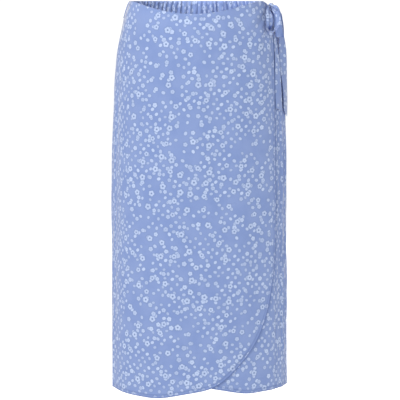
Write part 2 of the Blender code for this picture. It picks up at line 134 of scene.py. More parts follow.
GROUND = (0.236, 0.318, 0.578, 1.0)
GROUND_DEEP = (0.210, 0.292, 0.556, 1.0)
HEM_SHADOW = (0.110, 0.170, 0.400, 1.0)
HEART = (0.175, 0.245, 0.450, 1.0)
# Painted shade: the deep blue painted where a fold closes on itself.
PAINTED_SHADE_BLUE = (0.012, 0.050, 0.270, 1.0)
GRAZING = (1.0, 0.86, 0.60, 1.0)
PETAL = (0.480, 0.575, 0.790, 1.0)
REVERSE_GROUND = (0.300, 0.375, 0.590, 1.0)
REVERSE_PETAL = (0.400, 0.475, 0.680, 1.0)
CREPE_PITCH = 0.0011
CRUMPLE_LENGTH = 0.022
CLUSTER_LENGTH = 0.085
CLOUDS_PER_METRE = 26.0
PUCKERS_PER_METRE = 150.0
GRAIN_HEIGHT = 0.00012
CRUMPLE_HEIGHT = 0.0010
TURNED_HEIGHT = 0.00030
PUCKER_HEIGHT = 0.00050
SEWN_DIP = 0.00035
CLOTH_ROUGHNESS = 0.86
PRINT_IS_SMOOTHER = 0.06
HEM_WIDTH = 0.008
STITCH_LINE = 0.0066
SEWN_HALF_WIDTH = 0.00182
RIM_WIDTHS = (0.0010, 0.0022)
TURNED_SHADE = 0.20
SEWN_SHADE = 0.18
RIM_SHADE = 0.80


class Wire:
    """A value in the shader that is being made. Sums, products and the like of wires and plain
    numbers add Math nodes."""

    tree = None

    def __init__(self, socket):
        self.socket = socket

    @classmethod
    def node(cls, kind, inputs=None, out=0, **settings):
        """One node of any kind: its settings first, then a value or a wire for each socket."""
        made = cls.tree.nodes.new(kind)
        for name, value in settings.items():
            setattr(made, name, value)
        for name, value in (inputs or {}).items():
            if isinstance(value, Wire):
                cls.tree.links.new(value.socket, made.inputs[name])
            else:
                made.inputs[name].default_value = value
        return cls(made.outputs[out])

    def also(self, out):
        """Another output of the same node."""
        return Wire(self.socket.node.outputs[out])

    def into(self, shader, name):
        """Links this value to one of the shader's sockets."""
        Wire.tree.links.new(self.socket, shader.inputs[name])

    def maths(self, operation, *others):
        return Wire.node("ShaderNodeMath", dict(enumerate((self, *others))), operation=operation)

    def vector(self, operation, other):
        return Wire.node("ShaderNodeVectorMath", {0: self, 1: other}, operation=operation)

    def __add__(self, other):
        return self.maths("ADD", other)

    def __sub__(self, other):
        return self.maths("SUBTRACT", other)

    def __rsub__(self, other):
        return Wire.node("ShaderNodeMath", {0: other, 1: self}, operation="SUBTRACT")

    def __mul__(self, other):
        return self.maths("MULTIPLY", other)

    def __truediv__(self, other):
        return self.maths("DIVIDE", other)

    def __pow__(self, other):
        return self.maths("POWER", other)

    __radd__ = __add__
    __rmul__ = __mul__

    def rise(self, low, high):
        """0 below low, 1 above high, with a smooth rise between them."""
        ends = {"Value": self, "From Min": low, "From Max": high}
        return Wire.node("ShaderNodeMapRange", ends, interpolation_type="SMOOTHSTEP")

    def blend(self, first, second):
        """A colour between first and second, at this share."""
        return Wire.node("ShaderNodeMix", {0: self, 6: first, 7: second}, out=2, data_type="RGBA")

    def raised(self):
        """The normals of a surface that this height in metres raises."""
        return Wire.node("ShaderNodeBump", {"Height": self, "Strength": 1.0, "Distance": 1.0})


Motif = namedtuple("Motif", "spacing reach share lobes lobe_depth lobe_power heart palest turn")
MOTIFS = (
    # spacing, reach, share, lobes, lobe depth, lobe power, heart, palest, turn
    Motif(0.0265, 0.0061, 0.50, 5, 0.30, 0.6, 0.28, 0.80, 17),
    Motif(0.0205, 0.0048, 0.52, 5, 0.26, 0.7, 0.13, 0.62, -29),
    Motif(0.0126, 0.0038, 0.72, 2, 0.20, 2.0, 0.0, 0.56, 52),
)
CELL_MARGIN = 2.3
SMALLEST_MOTIF = 0.86
SIZE_RANGE = 0.28
THINNEST_CLUSTER = 0.65
CLUSTER_RANGE = 0.7
PETAL_EDGE = (0.76, 1.10)
COVER_EDGE = (1.05, 1.15)
OUTLINE_EDGE = (1.10, 1.42)
OUTLINE_SHADE = 0.55


def flat_noise(place, scale, detail, distortion=0.0):
    """Noise over the flat cloth, in features of about 1 / scale."""
    inputs = {"Vector": place, "Scale": scale, "Detail": detail, "Distortion": distortion}
    return Wire.node("ShaderNodeTexNoise", inputs, noise_dimensions="2D")


def printed_motif(place, motif):
    """White of one kind of motif, the part that covers what lies under it, the part that its
    darker outline takes up, and its blue heart.
    Each cell of a turned lattice holds one motif, well inside it, or none. The outline's radius
    is reach * (1 - depth + depth * |cos(lobes * angle / 2)| ^ power)."""
    turn = {"Vector": place, "Angle": radians(motif.turn)}
    turned = Wire.node("ShaderNodeVectorRotate", turn, rotation_type="Z_AXIS")
    cells = turned.vector("MULTIPLY", (1.0 / motif.spacing,) * 3)
    cell = Wire.node("ShaderNodeVectorMath", {0: cells}, operation="FLOOR")
    drawn = {"Vector": cell.vector("ADD", (motif.turn, 7.0, 0.0))}
    chance = Wire.node("ShaderNodeTexWhiteNoise", drawn, out="Color")
    other = chance.also("Value")
    right = Wire.node("ShaderNodeSeparateColor", {0: chance})
    up, present = right.also(1), right.also(2)
    spot = Wire.node("ShaderNodeSeparateXYZ", {0: cells.vector("SUBTRACT", cell)})
    jitter = 1.0 - CELL_MARGIN * motif.reach / motif.spacing
    x = spot - 0.5 - (right - 0.5) * jitter
    y = spot.also(1) - 0.5 - (up - 0.5) * jitter
    radius = (x * x + y * y).maths("SQRT") * motif.spacing
    angle = y.maths("ARCTAN2", x) + other * (2.0 * pi)
    reach = ((other * 7.3).maths("FRACT") * SIZE_RANGE + SMALLEST_MOTIF) * motif.reach
    lobe = (angle * (motif.lobes / 2)).maths("COSINE").maths("ABSOLUTE") ** motif.lobe_power
    inside = radius / (reach * (lobe * motif.lobe_depth + (1.0 - motif.lobe_depth)))
    crowd = flat_noise(cell, motif.spacing / CLUSTER_LENGTH, 0.0).rise(0.34, 0.66)
    crowd = crowd * CLUSTER_RANGE + THINNEST_CLUSTER
    here = (crowd * motif.share).maths("GREATER_THAN", present)
    tone = (other * 3.7).maths("FRACT") * (1.0 - motif.palest) + motif.palest
    white = (1.0 - inside.rise(*PETAL_EDGE)) * here * tone
    covers = (1.0 - inside.rise(*COVER_EDGE)) * here
    outline = (1.0 - inside.rise(*OUTLINE_EDGE)) * here
    if not motif.heart:
        return white, covers, outline, None
    heart = (1.0 - (radius / reach).rise(motif.heart * 0.75, motif.heart * 1.25)) * here
    return white, covers, outline, heart


def viscose(name, ground, ground_deep, heart_blue, petal):
    """Matt crepe cloth. The print and the crepe grain lie on the piece's own flat map in metres.
    The turned hem's relief and its painted shade, darker over the hem, along the stitch line and at
    the very edge, follow the distance from the edge; painted shade of a deep blue follows the share
    stored where a fold closes on itself."""
    plain = {"Specular IOR Level": 0.25, "Sheen Weight": 0.50, "Sheen Roughness": 0.42}
    made, shader = plain_material(name, plain | {"Sheen Tint": GRAZING})
    Wire.tree = made.node_tree

    place = Wire.node("ShaderNodeUVMap", uv_map="cloth")
    white, covered, outlined, heart = printed_motif(place, MOTIFS[0])
    for motif in MOTIFS[1:]:
        layer, cover, outline, centre = printed_motif(place, motif)
        outlined = outlined.maths("MAXIMUM", outline)
        free = 1.0 - covered
        white = white.maths("MAXIMUM", layer * free)
        covered = covered.maths("MAXIMUM", cover)
        if centre:
            heart = heart.maths("MAXIMUM", centre * free)

    base = flat_noise(place, CLOUDS_PER_METRE, 3.0).rise(0.3, 0.7).blend(ground_deep, ground)
    lined = (outlined * OUTLINE_SHADE).blend(base, heart_blue)
    printed = heart.blend(white.blend(lined, petal), heart_blue)
    # Painted shade: darker over the turned hem, along the stitch line and in a thin line at the very edge,
    # for the shade of the doubled hem, the stitch groove and the edge's shadow.
    edge = Wire.node("ShaderNodeAttribute", attribute_name="edge_distance", out="Fac")
    turned_in = 1.0 - edge.rise(HEM_WIDTH * 0.92, HEM_WIDTH * 1.05)
    sewn = 1.0 - (edge - STITCH_LINE).maths("ABSOLUTE").rise(0.0, SEWN_HALF_WIDTH)
    rim = 1.0 - edge.rise(*RIM_WIDTHS)
    shade = turned_in * TURNED_SHADE + sewn * SEWN_SHADE + rim * RIM_SHADE
    # Painted shade: a deep blue painted where a fold closes on itself and shade falls.
    fold_shade = Wire.node("ShaderNodeAttribute", attribute_name="painted_fold_shade", out="Fac")
    fold_shade.blend(shade.blend(printed, HEM_SHADOW), PAINTED_SHADE_BLUE).into(shader, "Base Color")
    (white * -PRINT_IS_SMOOTHER + CLOTH_ROUGHNESS).into(shader, "Roughness")

    grain = flat_noise(place, 1.0 / CREPE_PITCH, 2.0)
    crumple = flat_noise(place, 1.0 / CRUMPLE_LENGTH, 4.0, distortion=0.6)
    pucker = flat_noise(place, PUCKERS_PER_METRE, 1.0)
    height = grain * GRAIN_HEIGHT + crumple * CRUMPLE_HEIGHT + turned_in * TURNED_HEIGHT
    height = height - sewn * SEWN_DIP + sewn * pucker * PUCKER_HEIGHT
    height.raised().into(shader, "Normal")
    return made


face_side = viscose("viscose_face", GROUND, GROUND_DEEP, HEART, PETAL)
reverse_side = viscose("viscose_reverse", REVERSE_GROUND, REVERSE_GROUND, REVERSE_GROUND, REVERSE_PETAL)


# ----------------------------------------
# Front underlap. The inner front panel: one layer of viscose cut to the body's form, sewn in the
# left side seam, with a rounded lower corner under the overlap and a narrow hem turned twice.

Oval = namedtuple("Oval", "half_width front back")
WAIST = Oval(half_width=0.139, front=0.097, back=0.098)
HIPS = Oval(half_width=0.1767, front=0.115, back=0.122)
HIP_CURVE_LENGTH = 0.095
SEAT_FULLNESS = 0.009
SEAT_DEPTH = 0.205
SEAT_SPREAD = 0.130
HEM_FLARE = 0.0015
HEM_KICK = 0.0028
LONGEST = 0.7925

WAIST_DIP = 0.025
WAIST_DIP_CENTRE = -5.0
WAIST_DIP_RATE = 1.25
SIDE_PULL = 0.012
SIDE_PULL_STARTS = 63.0
SIDE_PULL_FULL = 82.0
SIDE_PULL_EASES = 97.0
SIDE_PULL_ENDS = 116.0

SEAM_ANGLE = 89.95
SEAM_ROLL = 0.0013
SEAM_ROLL_WIDTH = 0.0024
CORNER_TOP_DEPTH = 0.40
CORNER_ACROSS_POWER = 2.45
CORNER_DOWN_POWER = 2.53
EDGE_RIPPLE = 0.003
EDGE_RIPPLE_LENGTH = 0.45
CORNER_COLUMNS = 104
SEAM_ZONE = -84.0
SIDE_ZONE = -62.0
PANEL_ROWS = 176
ROW_CROWDING = 0.55
FACE_LIFT = 0.0012
REVERSE_LIFT = 0.0004
HEM_THICKNESS = 0.0006

FrontPanel = namedtuple("FrontPanel", "length seam_rise corner_start edge side")
UNDERLAP = FrontPanel(length=0.7845, seam_rise=0.0, corner_start=-43.0, edge=53.7, side=-1)
OVERLAP = FrontPanel(length=LONGEST, seam_rise=0.007, corner_start=-38.0, edge=59.2, side=1)
TIED_LEAN = 8.0
TIED_LEAN_DEPTH = 0.125
TIED_CORNER_TURN = 4.2
TIED_CORNER_DEPTH = 0.007
PRESSED_IN = 0.0016
PRESSED_MORE = 0.0034
PRESSED_WIDTH = 0.0022

Crease = namedtuple("Crease", "angle top bottom spread lean height")
CREASES = (
    # angle, top, bottom, spread, lean, height
    Crease(65.0, 0.120, 0.700, 2.6, -4.0, -0.0014),
    Crease(70.0, 0.180, 0.790, 2.6, -3.0, 0.0020),
    Crease(75.5, 0.090, 0.560, 2.6, 2.0, -0.0022),
    Crease(80.0, 0.150, 0.790, 2.8, 1.0, 0.0018),
    Crease(84.0, 0.300, 0.640, 2.6, -2.0, -0.0016),
    Crease(88.5, 0.100, 0.400, 5.5, 0.0, -0.0034),
    Crease(-68.0, 0.120, 0.520, 3.5, 3.0, -0.0012),
    Crease(-76.0, 0.060, 0.790, 3.2, 2.0, 0.0012),
    Crease(-82.5, 0.140, 0.790, 2.6, -2.0, -0.0020),
)
FINE_CREASES = (
    Crease(63.5, 0.200, 0.430, 1.1, 5.0, -0.0010),
    Crease(67.0, 0.330, 0.690, 1.2, -4.0, -0.0018),
    Crease(71.0, 0.240, 0.520, 0.9, 2.0, -0.0022),
    Crease(73.5, 0.500, 0.790, 1.2, -6.0, 0.0014),
    Crease(76.5, 0.180, 0.480, 0.9, -3.0, -0.0020),
    Crease(78.5, 0.430, 0.790, 1.0, 4.0, -0.0020),
    Crease(82.0, 0.060, 0.360, 1.3, 2.0, -0.0015),
    Crease(86.0, 0.380, 0.790, 1.3, -3.0, -0.0016),
    Crease(-88.0, 0.020, 0.360, 6.0, 0.0, -0.0018),
    Crease(-64.0, 0.300, 0.560, 1.4, -5.0, -0.0006),
    Crease(-71.5, 0.180, 0.660, 1.3, 4.0, -0.0010),
    Crease(-74.0, 0.480, 0.790, 1.5, -4.0, 0.0009),
    Crease(-79.5, 0.090, 0.430, 1.2, -3.0, -0.0012),
    Crease(-80.5, 0.380, 0.790, 1.2, 3.0, -0.0014),
    Crease(-86.0, 0.220, 0.700, 1.3, 2.0, -0.0015),
)
CREASE_FADE = 0.08
HEM_CREASE_DEPTH = 0.75
CRINKLES = (
    # height, pitch, sway, bends, shift, comes, lean, late
    (0.00088, 2.7, 0.55, 13.0, 1.0, 21.0, 0.09, 0.0),
    (0.00110, 4.3, 0.70, 8.0, 2.4, 12.0, 0.13, 1.1),
)
CRINKLE_AT_RIGHT = 0.45
WAVES = (
    # height, turns, fall, shift
    (0.00050, 9.0, 7.0, 0.6),
    (0.00040, 16.0, -5.0, 2.1),
    (0.00030, 5.0, 23.0, 0.0),
)
TAKE_UP_STARTS = 50.0
TAKE_UP_EASE = 6.0
TAKE_UP_AT_WAIST = 0.35
TAKE_UP_LOST_LOWER = 0.6


def ramp(low, high, value):
    """A smooth rise from 0 at low to 1 at high, level beyond both. High may be the lower one."""
    t = np.clip((value - low) / (high - low), 0.0, 1.0)
    return t * t * (3.0 - 2.0 * t)


def bell(value):
    """1 at 0, falling off on both sides as exp(-value^2)."""
    return exp(-(value**2))


def unit(vectors):
    """The vectors, each of length 1."""
    return vectors / np.linalg.norm(vectors, axis=-1, keepdims=True)


def from_front(angle):
    """An angle round the body as degrees to either side of centre front."""
    return np.where(angle < 180.0, angle, angle - 360.0)


def half_sizes(angle, depth):
    """Half width and reach of the oval at each depth: waist opening out to the hips by a decaying
    exponential, a cubic kick towards the hem, and a bell of extra reach at the seat behind."""
    opened = exp(-depth / HIP_CURVE_LENGTH)
    down = depth / LONGEST
    half_width = HIPS.half_width + HEM_FLARE * down + HEM_KICK * down**3
    half_width = half_width - (HIPS.half_width - WAIST.half_width) * opened
    front = HIPS.front - (HIPS.front - WAIST.front) * opened
    back = HIPS.back - (HIPS.back - WAIST.back) * opened
    back = back + SEAT_FULLNESS * bell((depth - SEAT_DEPTH) / SEAT_SPREAD)
    return half_width, np.where(np.abs(angle) <= 90.0, front, back)


def degree_of_cloth(angle, depth):
    """Metres round the oval in one degree."""
    half_width, reach = half_sizes(angle, depth)
    turn = radians(angle)
    return np.hypot(half_width * cos(turn), reach * sin(turn)) * pi / 180.0


def crease_height(creases, angle, depth):
    """Sum of long creases. Each is a bell across and fades in and out along its length; one that
    reaches the hem runs out through it."""
    angle = from_front(angle)
    total = np.zeros(np.broadcast(angle, depth).shape)
    for crease in creases:
        middle = crease.angle + crease.lean * (depth - crease.top)
        along = ramp(crease.top, crease.top + CREASE_FADE, depth)
        if crease.bottom < HEM_CREASE_DEPTH:
            along = along * ramp(crease.bottom, crease.bottom - 2.0 * CREASE_FADE, depth)
        total = total + crease.height * bell((angle - middle) / crease.spread) * along
    return total


def crinkle(angle, depth):
    """Small upright crinkles of the sides: two sets of waves round the body that waver with depth
    and come and go along it, strongest near the left side seam."""
    at_left = ramp(58.0, 70.0, angle) * ramp(135.0, 112.0, angle)
    at_right = ramp(-58.0, -72.0, angle) + ramp(225.0, 248.0, angle)
    below = ramp(0.03, 0.10, depth) * (1.0 - 0.8 * ramp(0.69, 0.78, depth))
    total = 0.0
    for height, pitch, sway, bends, shift, comes, lean, late in CRINKLES:
        wave = sin(2.0 * pi * (angle / pitch + sway * sin(bends * depth + shift)))
        total = total + height * wave * sin(comes * depth + lean * angle + late)
    return (at_left + CRINKLE_AT_RIGHT * at_right) * total * below


def soft_relief(angle, depth):
    """What the cloth does besides its main folds: fine creases and crinkles at the sides, a roll
    into the side seams, and three long slanting waves of unevenness."""
    turn = radians(angle)
    from_seam = np.abs(90.0 - np.abs(from_front(angle))) * degree_of_cloth(90.0, depth)
    waves = sum(height * sin(turns * turn + fall * depth + shift) for height, turns, fall, shift in WAVES)
    seam = SEAM_ROLL * bell(from_seam / SEAM_ROLL_WIDTH)
    return crease_height(FINE_CREASES, angle, depth) + crinkle(angle, depth) - seam + waves


def outward(angle, depth):
    """Unit vectors straight out of the body in plan, square to the oval."""
    half_width, reach = half_sizes(angle, depth)
    turn = radians(angle)
    return unit(np.stack([reach * sin(turn), -half_width * cos(turn), 0.0 * reach * turn], axis=-1))


def skirt_points(angle, depth, lift):
    """Points of the skirt: the oval at each depth, moved out by the creases and the lift."""
    half_width, reach = half_sizes(angle, depth)
    turn = radians(angle)
    point = np.stack([half_width * sin(turn), -reach * cos(turn), -depth + 0.0 * turn], axis=-1)
    return point + outward(angle, depth) * (lift + crease_height(CREASES, angle, depth))[..., None]


def side_pull(angle):
    """How far the bow draws the top edge down near the left side seam."""
    drawn = ramp(SIDE_PULL_STARTS, SIDE_PULL_FULL, angle)
    return SIDE_PULL * drawn * (1.0 - ramp(SIDE_PULL_EASES, SIDE_PULL_ENDS, angle))


def waist_edge(angle):
    """Depth of the front's top edge: a squared cosine that dips below the back waistband, and
    the pull of the bow."""
    turn = WAIST_DIP_RATE * (angle - WAIST_DIP_CENTRE)
    return np.where(np.abs(turn) < 90.0, WAIST_DIP * cos(radians(turn)) ** 2, 0.0) + side_pull(angle)


def corner_edge(panel):
    """Shares across a front panel's rounded corner, their angles and the depths of its lower edge
    there: a quarter of a superellipse with a slight ripple."""
    across = sin(np.linspace(0.0, pi / 2, CORNER_COLUMNS))
    column = panel.corner_start + (panel.edge - panel.corner_start) * across
    fall = np.maximum(1.0 - across**CORNER_ACROSS_POWER, 0.0) ** (1.0 / CORNER_DOWN_POWER)
    ripple = EDGE_RIPPLE * sin(pi * across) * cos(2.0 * pi * (across - 0.5) / EDGE_RIPPLE_LENGTH)
    return across, column, CORNER_TOP_DEPTH + (panel.length - CORNER_TOP_DEPTH) * fall + ripple


def edge_slope(column, lowest):
    """Slope of a lower edge whose depths are given at these angles."""
    return np.gradient(lowest, column) / degree_of_cloth(column, lowest)


def inside_edge(panel, lean, angle, depth, lowest, slope):
    """Distance inside a front panel's free edge, negative outside it: the gap below times the
    cosine of the edge's slope, or the gap beside, whichever is less."""
    below = (lowest - depth) / np.hypot(1.0, slope)
    beside = (panel.edge + lean(depth) - angle) * degree_of_cloth(angle, depth)
    return np.minimum(below, beside)


def covered_by_overlap(angle, depth):
    """Distance inside the overlap's free edge."""
    _, column, lowest = corner_edge(OVERLAP)
    slope = np.interp(angle, column, edge_slope(column, lowest))
    return inside_edge(OVERLAP, tied_lean, angle, depth, np.interp(angle, column, lowest), slope)


def front_panel_grid(panel, lean):
    """Angle, depth and distance from the hemmed edge on a grid, rows down and columns round. Rows
    crowd towards both ends as t - c sin(2 pi t) / (2 pi). Lean is the degrees by which the free
    edge is pulled at a depth."""
    zones = ((-SEAM_ANGLE, SEAM_ZONE, 20), (SEAM_ZONE, SIDE_ZONE, 44), (SIDE_ZONE, panel.corner_start, 22))
    plain = np.concatenate([np.linspace(*zone, endpoint=False) for zone in zones])
    across, corner, corner_depth = corner_edge(panel)
    column = np.concatenate([plain, corner])
    seam_rise = panel.seam_rise * ramp(panel.corner_start, -SEAM_ANGLE, plain)
    lowest = np.concatenate([panel.length - seam_rise, corner_depth])
    follow = np.concatenate([np.zeros_like(plain), across**3])
    t = np.linspace(0.0, 1.0, PANEL_ROWS)[:, None]
    share = t - ROW_CROWDING * sin(2.0 * pi * t) / (2.0 * pi)
    top = waist_edge(panel.side * (column + lean(0.0) * follow))
    depth = top + (lowest - top) * share
    angle = column + lean(depth) * follow
    edge_distance = inside_edge(panel, lean, angle, depth, lowest, edge_slope(column, lowest))
    return tuple(grid[:, :: panel.side] for grid in (panel.side * angle, depth, edge_distance))


def arc_map(angle, depth):
    """The cloth's flat place of each grid point: the oval's arc from centre front at that depth,
    by 16 equal strips, more where the crinkled sides take up cloth, and the depth."""
    strips = (np.arange(16) + 0.5) / 16
    speed = sum(degree_of_cloth(angle * strip, depth) for strip in strips) / 16
    beyond = np.clip(np.abs(angle) - TAKE_UP_STARTS, 0.0, None)
    taken_up = degree_of_cloth(80.0, depth) * beyond**2 / (beyond + TAKE_UP_EASE)
    full = TAKE_UP_AT_WAIST + (1.0 - TAKE_UP_AT_WAIST) * ramp(0.0, 0.26, depth)
    taken_up = taken_up * (full - TAKE_UP_LOST_LOWER * ramp(0.50, 0.72, depth))
    return np.stack([angle * speed + np.sign(angle) * taken_up, -depth], axis=-1)


def path_map(points):
    """The cloth's flat place of each grid point, as lengths along its row and down its column."""
    along = np.cumsum(np.linalg.norm(np.diff(points, axis=1, prepend=points[:, :1]), axis=-1), axis=1)
    along -= along[:, points.shape[1] // 2][:, None]
    down = np.cumsum(np.linalg.norm(np.diff(points, axis=0, prepend=points[:1]), axis=-1), axis=0)
    return np.stack([along, -np.broadcast_to(down.mean(axis=1)[:, None], along.shape)], axis=-1)


def mark_cloth(mesh, flat, edge_distance, painted_fold_shade):
    """Stores the flat map, and for each point its distance from the hemmed edge and its share of
    painted fold shade, the deep blue painted where shade falls in a fold. Values are repeated until
    every point has one."""
    corners = np.empty(len(mesh.loops), dtype=np.int32)
    mesh.loops.foreach_get("vertex_index", corners)
    mesh.uv_layers.new(name="cloth").uv.foreach_set("vector", flat[corners].astype(np.float32).ravel())
    for name, values in (("edge_distance", edge_distance), ("painted_fold_shade", painted_fold_shade)):
        stored = mesh.attributes.new(name, "FLOAT", "POINT")
        stored.data.foreach_set("value", np.resize(values, len(mesh.vertices)).astype(np.float32))
    mesh.shade_smooth()


def cloth_piece(name, outer, inner, flat, materials, replaced=(), edge_distance=1.0, painted_fold_shade=0.0):
    """A closed wall of cloth between two grids of points, with rims on its four sides, its faces
    turned outwards. The inner face takes the last material."""
    rows, columns = outer.shape[:2]
    number = np.arange(rows * columns).reshape(rows, columns)
    under = number + rows * columns

    def cells(grid):
        return np.stack([grid[:-1, :-1], grid[1:, :-1], grid[1:, 1:], grid[:-1, 1:]], axis=-1).reshape(-1, 4)

    face, back = cells(number), cells(under)[:, ::-1]
    ends = (under[0], number[0]), (number[-1], under[-1])
    sides = (number[:, 0], under[:, 0]), (under[:, -1], number[:, -1])
    rims = [cells(np.stack(rim)) for rim in ends + sides]
    faces = np.concatenate([face, back, *rims])
    points = np.concatenate([outer.reshape(-1, 3), inner.reshape(-1, 3)])
    a, b, c, d = (points[faces[:, k]] for k in range(4))
    if (np.cross(c - a, d - b) * (a + b + c + d)).sum() < 0.0:
        faces = faces[:, ::-1]
    mesh = bpy.data.meshes.new(name)
    mesh.from_pydata(points, [], faces.tolist())
    for material in materials:
        mesh.materials.append(material)
    kind = np.zeros(len(faces), dtype=np.int32)
    kind[len(face) : 2 * len(face)] = len(materials) - 1
    mesh.polygons.foreach_set("material_index", kind)
    mark_cloth(mesh, np.concatenate([flat.reshape(-1, 2)] * 2), edge_distance, painted_fold_shade)
    mesh.set_sharp_from_angle(angle=radians(50.0))
    return placed(name, mesh, replaced)


def placed(name, mesh, replaced=()):
    """The mesh as a piece of the skirt that stands for the named solids."""
    piece = bpy.data.objects.new(name, mesh)
    scene.collection.objects.link(piece)
    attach(piece, "root")
    if replaced:
        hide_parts(*replaced)
    return piece


def no_lean(depth):
    """The underlap's free edge hangs straight."""
    return 0.0 * depth


def tied_lean(depth):
    """Degrees by which the bow pulls the overlap's free edge towards the side, less at its top."""
    pull = TIED_LEAN * bell(depth / TIED_LEAN_DEPTH)
    return pull - TIED_CORNER_TURN * bell(depth / TIED_CORNER_DEPTH)


def underlap_lift(angle, depth):
    """The underlap is pressed in along the overlap's edge, more along its straight part: a bell
    outside that edge, and all of the depth just inside it, where the overlap covers it."""
    inside = covered_by_overlap(angle, depth)
    straight = ramp(0.60, 0.42, depth)
    width = PRESSED_WIDTH * (1.0 + 1.2 * straight)
    beside_edge = bell(np.minimum(inside, 0.0) / width) * ramp(0.030, 0.006, inside)
    pressed = (PRESSED_IN + PRESSED_MORE * straight) * beside_edge * ramp(0.10, 0.22, depth)
    return FACE_LIFT + soft_relief(angle, depth) - pressed


def hemmed_panel(name, solid, angle, depth, lift, edge_distance, flat):
    """One layer of cloth, face side out, that is thicker on the inside where its hem is turned."""
    turned = HEM_THICKNESS * ramp(HEM_WIDTH * 1.1, HEM_WIDTH * 0.95, edge_distance)
    outer = skirt_points(angle, depth, lift)
    inner = skirt_points(angle, depth, lift - FACE_LIFT + REVERSE_LIFT - turned)
    return cloth_piece(name, outer, inner, flat, (face_side, reverse_side), (solid,), edge_distance)


angle, depth, edge_distance = front_panel_grid(UNDERLAP, no_lean)
lift = underlap_lift(angle, depth)
flat = arc_map(angle, depth)
underlap = hemmed_panel("underlap_cloth", "front_underlap", angle, depth, lift, edge_distance, flat)


# ----------------------------------------
# Front overlap. The outer front panel, the underlap's mirror image in the same viscose, sewn in
# the right side seam. The bow pulls its top corner, and folds fan out from there.

LAYER_LIFT = 0.0020
SETTLE_FROM = -62.0
SETTLE_BY = -84.0
EDGE_CURL = 0.0010
EDGE_CURL_WIDTH = 0.004
EDGE_FLAT_DEPTH = 0.722
EDGE_FLAT_LENGTH = 0.030
EDGE_FLAT_SHARE = 1.6
EDGE_ROLL = 0.0007
EDGE_ROLL_WIDTH = 0.0016
OVERLAP_PRINT_PLACE = (0.613, 0.291)

DragFold = namedtuple("DragFold", "end_angle end_depth spread height")
DRAG_FOLDS = (
    # end angle, end depth, spread, height
    DragFold(36.0, 0.046, 0.0065, 0.0014),
    DragFold(43.0, 0.088, 0.0070, 0.0018),
    DragFold(53.0, 0.120, 0.0065, 0.0015),
    DragFold(40.0, 0.064, 0.0030, -0.0009),
    DragFold(48.5, 0.102, 0.0030, -0.0011),
    DragFold(56.5, 0.075, 0.0022, -0.0012),
)
DRAG_ANGLE = 66.0
DRAG_DEPTH = 0.010
DRAG_DEGREE = 0.0021


def drag_height(angle, depth):
    """Folds that fan out from the tied corner: along each ray a parabola that is 0 at both ends,
    and across it a bell."""
    across, down = (angle - DRAG_ANGLE) * DRAG_DEGREE, depth - DRAG_DEPTH
    total = np.zeros_like(across)
    for fold in DRAG_FOLDS:
        ray = np.array([(fold.end_angle - DRAG_ANGLE) * DRAG_DEGREE, fold.end_depth - DRAG_DEPTH])
        along = (across * ray[0] + down * ray[1]) / (ray @ ray)
        off = np.hypot(across - ray[0] * along, down - ray[1] * along)
        hump = np.clip(4.0 * along * (1.0 - along), 0.0, None)
        total += fold.height * hump * bell(off / fold.spread)
    return total


def overlap_lift(angle, depth):
    """The overlap lies over the underlap, and comes down to the seam past the underlap's edge."""
    over = LAYER_LIFT * ramp(SETTLE_BY, SETTLE_FROM, angle) + drag_height(angle, depth)
    return FACE_LIFT + over + soft_relief(angle, depth)


def edge_is_free(angle, depth):
    """1 where nothing keeps the overlap's edge from curling, 0 near its seam and beside the bow."""
    return ramp(-30.0, 10.0, angle) * ramp(0.10, 0.18, depth)


angle, depth, edge_distance = front_panel_grid(OVERLAP, tied_lean)
lies_flat = EDGE_FLAT_SHARE * bell((depth - EDGE_FLAT_DEPTH) / EDGE_FLAT_LENGTH)
curl = EDGE_CURL * (1.0 - lies_flat) * exp(-edge_distance / EDGE_CURL_WIDTH)
curl -= EDGE_ROLL * bell(edge_distance / EDGE_ROLL_WIDTH)
lift = overlap_lift(angle, depth) + curl * edge_is_free(angle, depth)
flat = arc_map(angle, depth) + np.array(OVERLAP_PRINT_PLACE)
overlap = hemmed_panel("overlap_cloth", "front_overlap", angle, depth, lift, edge_distance, flat)


# ----------------------------------------
# Back waistband. A casing of the same viscose, sewn double over a wide elastic that gathers it
# in small uneven puffs from side seam to side seam, with a narrow pinch between two puffs.

BAND_HEIGHT = 0.035
BAND_COLUMNS = 504
BAND_ROWS = 20
BAND_GAP = 0.0004
BAND_RIM = 0.25
BAND_MIDDLE = 0.0012
BAND_PINCHED = 0.0004
BAND_PUFF = 0.0013
BAND_WAVE = 0.50
BAND_FINE = 0.00170
BAND_TAKE_UP = 1.6
# Painted shade in the band's pinches and over its right end.
PINCH_SHADE = 0.80
PUFF_SHADE = 0.03
RIGHT_END_SHADE = 0.12

BackFold = namedtuple("BackFold", "count height starts full fades ends drift shift at_seam")
BACK_FOLDS = (
    # count, height, starts, full, fades, ends, drift, shift, at seam
    BackFold(42, 0.0019, -1.0, 0.0, 0.035, 0.075, 0.0, 0.0, 0.03),
    BackFold(21, 0.0026, 0.035, 0.08, 0.1, 0.24, 0.3, 0.0, 0.03),
    BackFold(7, 0.0055, 0.12, 0.79, 1.0, 2.0, 0.13, 0.6, 0.15),
)
FOLD_UNEVENNESS = 0.25


def across_back(angle):
    """Share of the way round the back, from the left side seam to the right one."""
    return (angle - 90.0) / 180.0


def fold_phase(fold, angle):
    """How far round its waves a fold is at this angle."""
    across = across_back(angle)
    wander = sin(2.0 * pi * 2.3 * across + 1.0)
    return 2.0 * pi * (fold.count * across + fold.drift * wander) + fold.shift


def gather_height(angle, depth):
    """Sum of the back's folds: waves round the back that set in and fade with depth, uneven in
    height and spacing."""
    across = across_back(angle)
    from_seam = np.minimum(across, 1.0 - across)
    uneven = 1.0 + FOLD_UNEVENNESS * sin(2.0 * pi * 5.3 * across + 0.8)
    total = np.zeros(np.broadcast(angle, depth).shape)
    for fold in BACK_FOLDS:
        here = ramp(fold.starts, fold.full, depth) * ramp(fold.ends, fold.fades, depth)
        here = here * ramp(0.0, fold.at_seam, from_seam)
        total = total + fold.height * uneven * here * sin(fold_phase(fold, angle))
    return total


